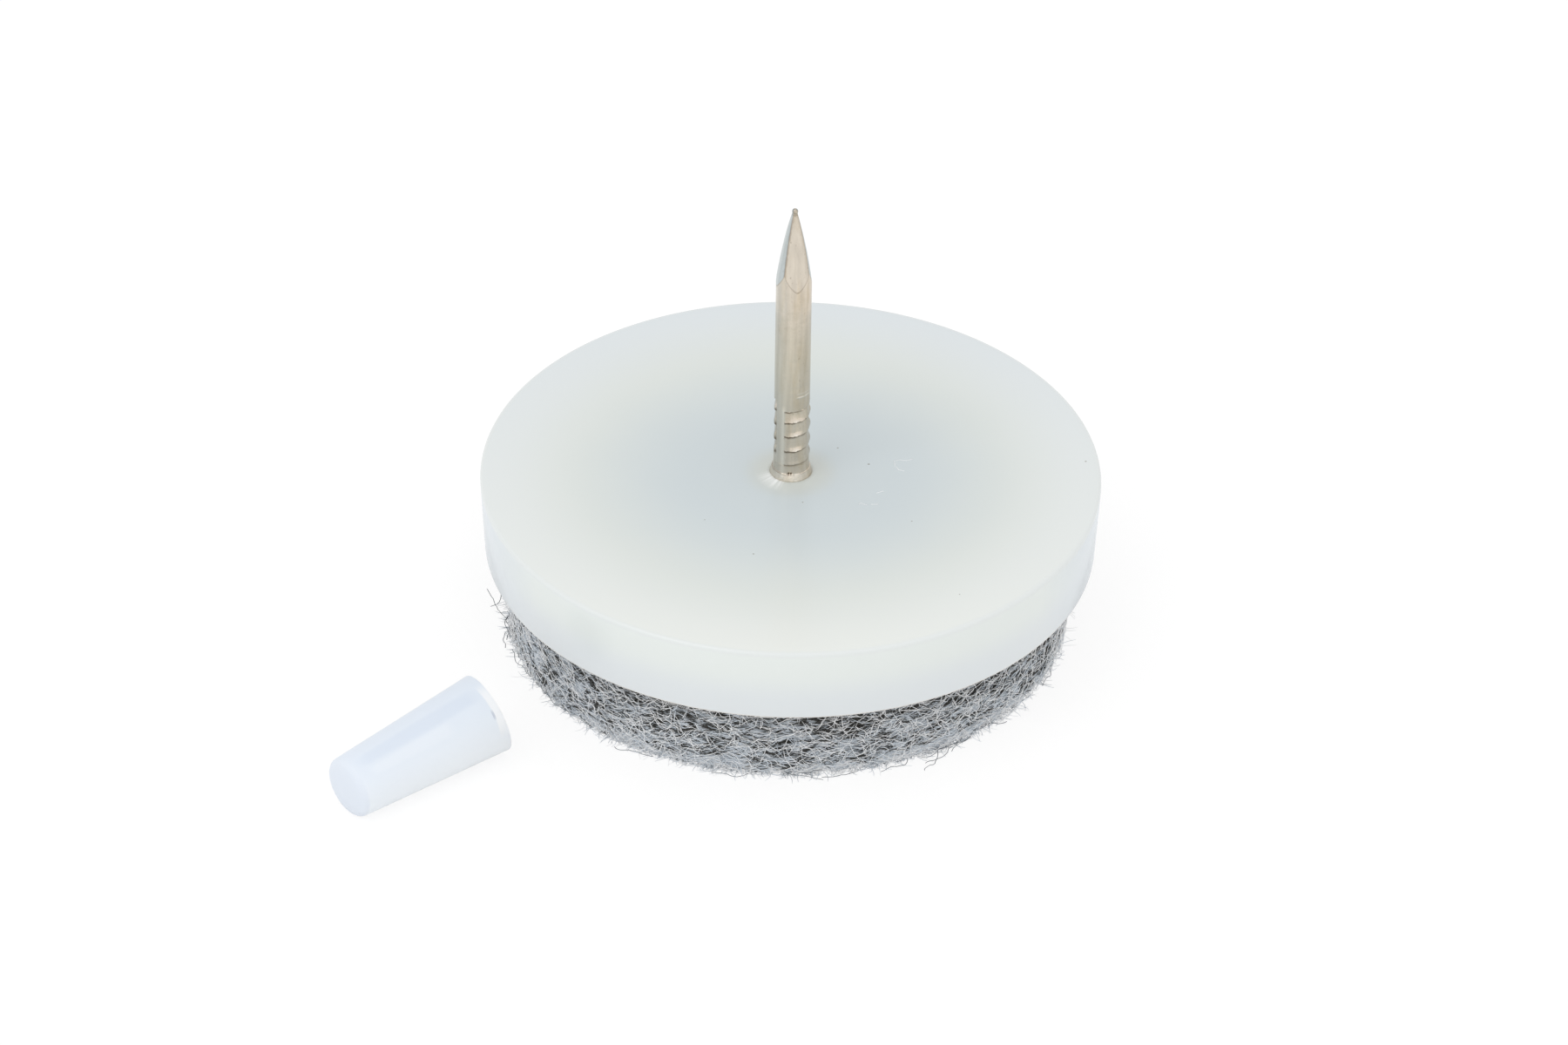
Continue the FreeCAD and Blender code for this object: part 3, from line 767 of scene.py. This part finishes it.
def nail_surface(nail, bearing, height, top):
    """Radius of the nail at a bearing and a height over the disc, and its dirt with painted shade, its
    painted highlight and scrapes, and its painted bluish reflection.
    """
    cut, dirt, shine = ring_cut(nail, bearing, height)
    # Painted shade darkens the right side of the wire, and a painted bluish reflection greys the left.
    film = 0.17 + 0.09 * bump_at(height - 4.5 * MM, 2 * MM)
    dirt = max(dirt, film * bump_at(bearing, 42 * DEG))
    bare = 0.34 * max(0, math.cos(bearing - GREY_SIDE)) ** 4
    if height < nail.ring_start:
        radius, neck_dirt_and_shade, glint = neck_surface(nail, bearing, height)
        return radius - cut, max(dirt, neck_dirt_and_shade), max(shine, glint), bare
    radius = nail.shank - cut
    # A scrape runs a sixth of the way round the shank, with a fainter one over it.
    scraped = clip(3 - abs(bearing - SCRAPE_SIDE) / (11 * DEG))
    for rise, strength in ((0, 1), (0.22 * MM, 0.4)):
        mark = strength * scraped * bump_at(height - nail.scrape - rise, SCRAPE_WIDTH)
        radius += SCRAPE_HEIGHT * mark
        shine = max(shine, mark)
    end = top - nail.bead / 2
    foot = top - nail.point
    if height > foot - 0.3 * MM:
        reach, turn, which = facet_reach(nail, bearing, min(height, end), foot, end)
        on_facet = clip((nail.shank - reach) / (0.006 * MM))
        # Darker lines mark the ridges between facets, their feet and the neck of the blunted tip.
        rough = 1 + 0.6 * noise.noise(Vector((bearing, 0, height / (0.25 * MM))))
        ridge = on_facet * max(0, 1 - (math.pi / 4 - abs(turn)) * reach / (0.1 * MM * rough))
        ridge *= 0.42 - 0.2 * math.sin(bearing + 32 * DEG)
        border = max(0, 1 - abs(reach - nail.shank) / (0.008 * MM))
        under_tip = bump_at(height - end + nail.bead / 2, 0.08 * MM)
        dirt = max(dirt, ridge, 0.6 * border, 0.55 * under_tip, 0.2 * (height > end))
        # Two facets take the painted bluish reflection in full, the others a little.
        bare = max(bare * (1 - on_facet), on_facet * (1 if which % 2 == 0 else 0.1))
        bead = math.sqrt(max(0, (nail.bead / 2) ** 2 - (height - end) ** 2))
        radius = bead if height > end else max(min(radius, reach), bead)
    return radius, dirt, shine, bare


class GLIDE_OT_nail(bpy.types.Operator):
    """Nickel-plated nail with pressed rings, smooth die strips and a four-sided point"""

    bl_idname = "glide.nail"
    bl_label = "Nail"

    def execute(self, context):
        nail = context.scene.glide_nail
        base = DISC_HIGH.z
        top = NAIL_HIGH.z - base
        foot = top - nail.point
        rings = nail.ring_start + (len(RING_SLIPS) - 1) * nail.ring_pitch
        # Rows of vertices over the disc's top, closest where the wire is shaped.
        hidden = -1.0 * MM
        heights = []
        for start, stop, step in (
            (hidden, COLLAR_FOOT, 0.6 * MM),
            (COLLAR_FOOT, nail.collar_rise - 0.1 * MM, 0.08 * MM),
            (nail.collar_rise - 0.1 * MM, nail.ring_start, 0.032 * MM),
            (nail.ring_start, rings + 0.45 * MM, 0.032 * MM),
            (rings + 0.45 * MM, nail.scrape + 0.3 * MM, 0.03 * MM),
            (nail.scrape + 0.3 * MM, foot - 0.3 * MM, 0.5 * MM),
            (foot - 0.3 * MM, top - 0.45 * MM, 0.06 * MM),
            (top - 0.45 * MM, top, 0.02 * MM),
        ):
            count = max(1, round((stop - start) / step))
            heights += [start + (stop - start) * i / count for i in range(count)]
        low = NAIL_LOW.z
        head_top = low + nail.head_thickness
        bm = turned([
            (0, low),
            (nail.head, low),
            (nail.head, head_top),
            (nail.collar, head_top),
            *((nail.shank, base + height) for height in heights),
            (0, base + top),
        ], NAIL_STEPS)
        dirt, shine, bare = (bm.verts.layers.float.new(name) for name in ("dirt", "shine", "bare"))
        for vert in bm.verts:
            height = vert.co.z - base
            if height < hidden - 0.01 * MM or height > top - 1e-7:
                continue
            bearing = math.atan2(vert.co.y, vert.co.x)
            radius, vert[dirt], vert[shine], vert[bare] = nail_surface(nail, bearing, height, top)
            vert.co.xy = radius * Vector((math.cos(bearing), math.sin(bearing)))
        show(mesh_piece("nail_plated", bm, nickel_plate(nail), 30), "nail")
        return {"FINISHED"}


def fray_and_floor_light(felt, bearing, height):
    """How pale the lower edge of the pad's wall is at a place, from 0 to about 1: frayed white fibres and
    painted light from the white floor.
    """
    band = felt.pale_band * (1 + 0.5 * noise.noise(on_round(bearing, 24, 0)))
    return max(0, math.cos(bearing - felt.pale_band_turn)) ** 0.7 * max(0, 1 - height / band) ** 0.7


def dye(felt, bearing, height):
    """How dark the blend of fibres and the painted shade are at a place on the pad's wall, from about -1 to
    1.
    """
    place = on_round(bearing, FELT_HIGH.x, height) / MM
    fine = noise.noise(Vector((place.x / 0.5, place.y / 0.5, place.z / 0.22)))
    broad = noise.noise(Vector((place.x / 3.2 + 17, place.y / 3.2 + 5, place.z / 1.3 + 3)))
    # Painted shade darkens it under the disc, a painted sheen pales the left, and the lower edge is pale.
    lightening = 0.14 * max(0, math.cos(bearing - SHEEN_SIDE)) ** 6 + 1.2 * fray_and_floor_light(felt, bearing, height)
    return 0.85 * fine + 0.3 * broad + 0.18 * clip(place.z - 2) - lightening


def wall_radius(felt, bearing, height):
    """Radius of the pad, which the floor has spread on one side and worn back on the other."""
    side = math.cos(bearing - felt.spread_turn)
    spread = felt.spread * (side ** 4 if side > 0 else -0.5 * side ** 2)
    return FELT_HIGH.x + spread * max(0, 1 - height / (4 * MM))


class GLIDE_OT_felt_pad(bpy.types.Operator):
    """Packed core of the felt pad, lumpy along the lay of its fibres"""

    bl_idname = "glide.felt_pad"
    bl_label = "Felt pad"

    def execute(self, context):
        felt = context.scene.glide_felt
        rim = FELT_HIGH.x - felt.core_inset
        low, high = FELT_LOW.z, FELT_HIGH.z
        cut = low + felt.edge
        wall = [(rim, cut + (high - low - felt.edge) * i / FELT_ROWS) for i in range(FELT_ROWS + 1)]
        bm = turned([(0, low), (rim - felt.edge, low), *wall, (0, high)], FELT_STEPS)
        dyed_and_shaded = bm.verts.layers.float.new("dye")
        for vert in bm.verts:
            if vert.co.z <= low or vert.co.xy.length <= rim / 2:
                continue
            bearing = math.atan2(vert.co.y, vert.co.x)
            vert[dyed_and_shaded] = dye(felt, bearing, vert.co.z)
            spot = vert.co / (1.3 * MM)
            lump = noise.fractal(Vector((spot.x, spot.y, spot.z * 4)), 0.6, 2.0, 3)
            radius = wall_radius(felt, bearing, vert.co.z) - felt.core_inset + felt.unevenness * lump
            vert.co.xy *= radius / rim
        piece = mesh_piece("felt_core", bm, needled_felt(felt), 60)
        show(piece, "felt_pad")
        return {"FINISHED"}


def in_felt(felt, height):
    """A height kept between the floor and the disc."""
    return min(max(abs(height), FELT_LOW.z + felt.fibre / 2), DISC_LOW.z - felt.fibre)


def lying_strand(rng, felt, bearing, height, lift, steep):
    """Points of a fibre that wanders along the pad's wall."""
    step = felt.staple * rng.uniform(0.4, 1.3) / FIBRE_STEPS
    way = rng.gauss(0, steep)
    along = -FIBRE_STEPS / 2 * step * math.cos(way)
    rise = -FIBRE_STEPS / 2 * step * math.sin(way)
    points = []
    for _ in LYING_TAPER:
        level = in_felt(felt, height + rise)
        turn = bearing + along / FELT_HIGH.x
        radius = wall_radius(felt, turn, level) + lift + rng.uniform(-0.03, 0.03) * MM
        points.append(on_round(turn, radius, level))
        along += step * math.cos(way)
        rise += step * math.sin(way)
        way += rng.gauss(0, 0.15 + 0.3 * steep)
    return points


def standing_strand(rng, felt, bearing, height, reach):
    """Points of a loose fibre that leaves the pad's wall and curls, or spreads over the floor."""
    low = max(0, 1 - height / (0.5 * MM))
    point = on_round(bearing, wall_radius(felt, bearing, height) - (0.1 + 0.15 * low) * MM, height)
    out = on_round(bearing, 1, 0)
    side = Vector((-out.y, out.x, 0))
    way = out * (rng.uniform(0.2, 1) + 0.5 * low) + side * rng.gauss(0, 1 - 0.4 * low)
    way = (way + Vector((0, 0, rng.gauss(-0.1 - 0.2 * low, 0.35)))).normalized()
    bend = Vector((rng.gauss(0, 0.45), rng.gauss(0, 0.45), rng.gauss(0, 0.22)))
    # The floor has combed out longer tufts in places.
    reach *= 1 + low * noise.noise(Vector((14 * bearing, 0, 0)))
    points = [point]
    for _ in range(FIBRE_STEPS):
        point = point + way * reach / FIBRE_STEPS
        point.z = in_felt(felt, point.z)
        way = (way + bend).normalized()
        points.append(point)
    return points


def stray_thread(rng, felt, bearing):
    """Points of a long thread that hangs loose along the pad's lower edge."""
    height = rng.uniform(0.05, 0.4) * MM
    radius = wall_radius(felt, bearing, height) + rng.uniform(-0.1, 0.25) * MM
    wave, turn, drift = rng.uniform(0, TURN), rng.choice((-1, 1)), rng.gauss(0.015, 0.04) * MM
    points = []
    for step in range(THREAD_POINTS):
        sway = 0.12 * MM * math.sin(wave) + step * drift
        level = in_felt(felt, height + 0.08 * MM * math.cos(0.7 * wave) - abs(step * drift) / 2)
        points.append(on_round(bearing, radius + sway, level))
        bearing += turn * rng.uniform(0.08, 0.25) * MM / FELT_HIGH.x
        wave += rng.uniform(0.2, 1)
    return points


class GLIDE_OT_felt_fibres(bpy.types.Operator):
    """Loose fibres on the pad's wall and along its lower edge, in four shades"""

    bl_idname = "glide.felt_fibres"
    bl_label = "Felt fibres"

    def execute(self, context):
        felt = context.scene.glide_felt
        rng = random.Random(felt.seed)
        low, high = FELT_LOW.z + 0.05 * MM, DISC_LOW.z - 0.05 * MM
        for name, share, lifts, blend, steep, thickness, loose, low_down in SHADES:
            strands = []
            while len(strands) < share * felt.strands:
                bearing = rng.uniform(0, TURN)
                if rng.random() < loose:
                    # The floor has combed out more of them at the front left.
                    combed = 0.2 + 0.8 * (0.5 + 0.5 * math.cos(bearing - felt.spread_turn)) ** 1.5
                    if rng.random() > combed:
                        continue
                    height = low + rng.random() ** low_down * (high - low)
                    reach = felt.fuzz * (0.35 + 1.6 * rng.random() ** 2)
                    strands.append((standing_strand(rng, felt, bearing, height, reach), LOOSE_TAPER))
                    continue
                height = rng.uniform(low, high)
                # The blend read here carries the painted shade and paleness, so darker fibres go where shade
                # is painted.
                if blend[0] < dye(felt, bearing, height) + rng.gauss(0, 0.06) < blend[1]:
                    lift = rng.uniform(*lifts) * MM
                    strands.append((lying_strand(rng, felt, bearing, height, lift, steep), LYING_TAPER))
            wool = wool_fibre(f"{name}_wool_fibre", getattr(felt, name))
            show(fibre_piece(f"felt_fibres_{name}", strands, felt.fibre * thickness, wool))
        threads = []
        for _ in range(felt.strays):
            points = stray_thread(rng, felt, rng.uniform(0, TURN))
            threads.append((points, [1] * len(points)))
        wool = wool_fibre("stray_wool_thread", felt.stray)
        show(fibre_piece("felt_threads", threads, felt.fibre, wool))
        return {"FINISHED"}


class GLIDE_OT_point_cap(bpy.types.Operator):
    """Soft plastic cap lying beside the glide, its mouth towards the disc"""

    bl_idname = "glide.point_cap"
    bl_label = "Point cap"

    def execute(self, context):
        cap = context.scene.glide_cap
        bm = turned([
            (0, cap.tube + cap.dome),
            (cap.end * 0.35, cap.tube + cap.dome * 0.88),
            (cap.end * 0.7, cap.tube + cap.dome * 0.5),
            (cap.end, cap.tube),
            (cap.mouth, 0),
            (cap.mouth - cap.wall, 0),
            (cap.end - cap.wall, cap.tube - cap.end_wall),
            (0, cap.tube - cap.end_wall),
        ], CAP_STEPS)
        round_rim(bm, cap.end, cap.tube, cap.edge, 5)
        round_rim(bm, cap.mouth, 0, 0.04 * MM, 2)
        round_rim(bm, cap.mouth - cap.wall, 0, 0.08 * MM, 2)
        mouth, away = cap_lay(cap)
        lay = Matrix.Translation(mouth) @ away.to_track_quat("Z", "Y").to_matrix().to_4x4()
        bmesh.ops.transform(bm, matrix=lay, verts=bm.verts)
        # The mouth is cut aslant, shortest on its upper front.
        short = Vector((0, -0.7, 0.7))
        short = (short - away * short.dot(away)).normalized()
        for vert in bm.verts:
            spot = vert.co - mouth
            if spot.dot(away) < cap.tube / 4:
                vert.co -= away * cap.slant * (1 - spot.dot(short) / cap.mouth) / 2
        show(mesh_piece("cap_moulding", bm, soft_polyethylene(cap), 40), "point_cap")
        return {"FINISHED"}


class GLIDE_OT_stage(bpy.types.Operator):
    """Pale floor, soft light from all round, one large lamp and the camera"""

    bl_idname = "glide.stage"
    bl_label = "Stage"

    def execute(self, context):
        scene = context.scene
        stage = scene.glide_stage
        self.lay_floor(scene, stage)
        self.light(scene, stage)
        self.set_camera(scene, stage)
        scene.view_settings.view_transform = "Standard"
        return {"FINISHED"}

    def lay_floor(self, scene, stage):
        """A white floor that keeps the soft shadow under the glide, and lights it as pale paper does."""
        bm = bmesh.new()
        bmesh.ops.create_grid(bm, x_segments=1, y_segments=1, size=FLOOR_REACH)
        material, add = new_material("matt_paper_floor")
        rays = add("LightPath").outputs
        seen = rays["Is Camera Ray"]
        for ray in ("Is Glossy Ray", "Is Transmission Ray"):
            seen = add("Math", {0: seen, 1: rays[ray]}, operation="MAXIMUM")
        paper = add("BsdfDiffuse", {"Color": stage.floor})
        shade = add("BsdfDiffuse", {"Color": (0.2, 0.2, 0.2)})
        glow = add("Emission", {"Color": WHITE, "Strength": 0.83})
        bright = add("AddShader", {0: shade, 1: glow})
        mixed = add("MixShader", {0: seen, 1: paper, 2: bright})
        add("OutputMaterial", {"Surface": mixed})
        floor = mesh_piece("floor", bm, material, 30)
        scene.collection.objects.link(floor)

    def light(self, scene, stage):
        """Even light as in a white tent, brighter from the front, and a large lamp over its left."""
        world = bpy.data.worlds.new("white_tent")
        scene.world = world
        world.use_nodes = True
        world.node_tree.nodes.clear()
        add = partial(add_node, world.node_tree)
        way = add("TexCoord").outputs["Generated"]
        depth = add("SeparateXYZ", {0: way}).outputs["Y"]
        level = add("MapRange", {
            0: depth, "From Min": -1, "From Max": 1, "To Min": stage.front, "To Max": stage.back})
        sky = add("Background", {"Color": WHITE, "Strength": level})
        add("OutputWorld", {"Surface": sky})
        lamp = bpy.data.lights.new("overhead_box", "AREA")
        lamp.energy = stage.key
        lamp.size = LAMP_SIZE
        lamp_object = bpy.data.objects.new("overhead_box", lamp)
        lamp_object.location = LAMP_PLACE
        lamp_object.rotation_euler = (-lamp_object.location).to_track_quat("-Z", "Y").to_euler()
        scene.collection.objects.link(lamp_object)

    def set_camera(self, scene, stage):
        """Camera at the height, distance and turn of the photograph."""
        data = bpy.data.cameras.new("camera")
        data.lens = stage.lens
        data.sensor_width = SENSOR
        data.clip_start, data.clip_end = 0.01, 20
        camera = bpy.data.objects.new("camera", data)
        back = Vector((0, -math.cos(stage.elevation), math.sin(stage.elevation)))
        camera.location = Vector((0, 0, DISC_HIGH.z)) + back * stage.distance
        look = (Vector(stage.aim) - camera.location).to_track_quat("-Z", "Y")
        camera.rotation_euler = (look @ Quaternion((0, 0, 1), stage.roll)).to_euler()
        scene.collection.objects.link(camera)
        scene.camera = camera


class GLIDE_PT_sidebar(bpy.types.Panel):
    """Settings and build buttons of the glide"""

    bl_idname = "GLIDE_PT_sidebar"
    bl_label = "Nail-on glide"
    bl_space_type = "VIEW_3D"
    bl_region_type = "UI"
    bl_category = "Glide"

    def draw(self, context):
        for operator, settings in BUTTONS:
            box = self.layout.box()
            box.operator(operator.bl_idname)
            group = getattr(context.scene, settings)
            for name in group.bl_rna.properties.keys():
                if name not in ("rna_type", "name"):
                    box.prop(group, name)


SETTINGS = {
    "glide_disc": GlideDisc,
    "glide_nail": GlideNail,
    "glide_felt": GlideFelt,
    "glide_cap": GlideCap,
    "glide_stage": GlideStage,
}
BUTTONS = (
    (GLIDE_OT_base_disc, "glide_disc"),
    (GLIDE_OT_disc_scratches, "glide_disc"),
    (GLIDE_OT_nail, "glide_nail"),
    (GLIDE_OT_felt_pad, "glide_felt"),
    (GLIDE_OT_felt_fibres, "glide_felt"),
    (GLIDE_OT_point_cap, "glide_cap"),
    (GLIDE_OT_stage, "glide_stage"),
)
CLASSES = (*SETTINGS.values(), *(operator for operator, _ in BUTTONS), GLIDE_PT_sidebar)


def register():
    """Registers the settings, the operators and the panel."""
    for cls in CLASSES:
        bpy.utils.register_class(cls)
    for name, cls in SETTINGS.items():
        setattr(bpy.types.Scene, name, PointerProperty(type=cls))


def unregister():
    """Takes everything out again, last in, first out."""
    for name in SETTINGS:
        delattr(bpy.types.Scene, name)
    for cls in reversed(CLASSES):
        bpy.utils.unregister_class(cls)


def main():
    """Registers the tools and builds every piece and the stage."""
    register()
    bpy.ops.glide.base_disc()
    bpy.ops.glide.disc_scratches()
    bpy.ops.glide.nail()
    bpy.ops.glide.felt_pad()
    bpy.ops.glide.felt_fibres()
    bpy.ops.glide.point_cap()
    bpy.ops.glide.stage()


if __name__ == "__main__":
    main()
